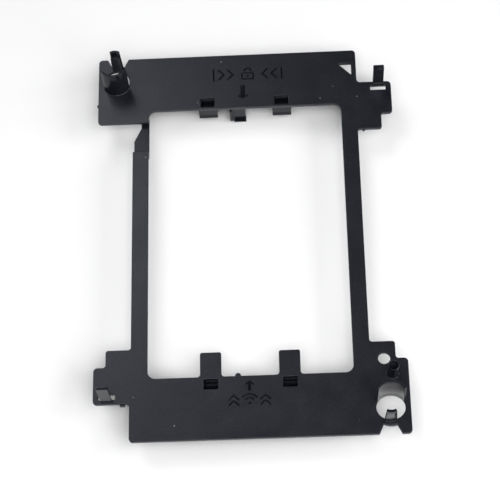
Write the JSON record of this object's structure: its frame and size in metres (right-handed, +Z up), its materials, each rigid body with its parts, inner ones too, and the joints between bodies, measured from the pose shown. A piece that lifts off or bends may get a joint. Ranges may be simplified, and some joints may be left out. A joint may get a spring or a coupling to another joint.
{
  "type": "processor carrier frame",
  "caption": "Flat plastic carrier frame that clips a server processor package under a heat sink, with guide sleeves and flexing snap fingers.",
  "frame": {"origin": "below the middle of the processor window, on the ground that the underside posts stand on", "axes": "+Z up, out of the face that the heat sink lies on; +Y towards the latch end; +X right when seen from above with the latch end away from the viewer"},
  "size_m": [0.078, 0.1078, 0.0183],
  "materials": {
    "black_plastic": "fine moulded grain, black"
  },
  "bodies": {
    "frame_body": {"carrier_frame": "black_plastic"},
    "guide_finger_push_end_body": {"guide_finger_push_end": "black_plastic"},
    "guide_finger_latch_end_body": {"guide_finger_latch_end": "black_plastic"},
    "edge_hook_latch_end_body": {"edge_hook_latch_end": "black_plastic"},
    "edge_hook_push_end_body": {"edge_hook_push_end": "black_plastic"},
    "latch_hook_left_body": {"latch_hook_left": "black_plastic"},
    "latch_hook_right_body": {"latch_hook_right": "black_plastic"},
    "centre_latch_body": {"centre_latch": "black_plastic"},
    "push_tab_left_body": {"push_tab_left": "black_plastic"},
    "push_tab_right_body": {"push_tab_right": "black_plastic"}
  },
  "joints": [
    {"name": "guide_finger_push_end_flex", "type": "hinge", "parent": "frame_body", "child": "guide_finger_push_end_body", "pos_m": [0.0338, -0.0506, 0.00875], "axis": [1, 0, 0], "range_deg": [-3, 6]},
    {"name": "guide_finger_latch_end_flex", "type": "hinge", "parent": "frame_body", "child": "guide_finger_latch_end_body", "pos_m": [-0.0338, 0.0506, 0.00875], "axis": [-1, 0, 0], "range_deg": [-3, 6]},
    {"name": "edge_hook_latch_end_flex", "type": "hinge", "parent": "frame_body", "child": "edge_hook_latch_end_body", "pos_m": [0.0356, 0.04315, 0.00875], "axis": [-1, 0, 0], "range_deg": [-2, 8]},
    {"name": "edge_hook_push_end_flex", "type": "hinge", "parent": "frame_body", "child": "edge_hook_push_end_body", "pos_m": [-0.0356, -0.04315, 0.00875], "axis": [1, 0, 0], "range_deg": [-2, 8]},
    {"name": "latch_hook_left_flex", "type": "hinge", "parent": "frame_body", "child": "latch_hook_left_body", "pos_m": [-0.0098, 0.0381, 0.00745], "axis": [1, 0, 0], "range_deg": [-2, 8]},
    {"name": "latch_hook_right_flex", "type": "hinge", "parent": "frame_body", "child": "latch_hook_right_body", "pos_m": [0.0098, 0.0381, 0.00745], "axis": [1, 0, 0], "range_deg": [-2, 8]},
    {"name": "centre_latch_flex", "type": "hinge", "parent": "frame_body", "child": "centre_latch_body", "pos_m": [-0.0012, 0.03825, 0.00745], "axis": [1, 0, 0], "range_deg": [-2, 6]},
    {"name": "push_tab_left_flex", "type": "hinge", "parent": "frame_body", "child": "push_tab_left_body", "pos_m": [-0.0098, -0.03755, 0.0081], "axis": [-1, 0, 0], "range_deg": [-2, 8]},
    {"name": "push_tab_right_flex", "type": "hinge", "parent": "frame_body", "child": "push_tab_right_body", "pos_m": [0.0098, -0.03755, 0.0081], "axis": [-1, 0, 0], "range_deg": [-2, 8]}
  ]
}
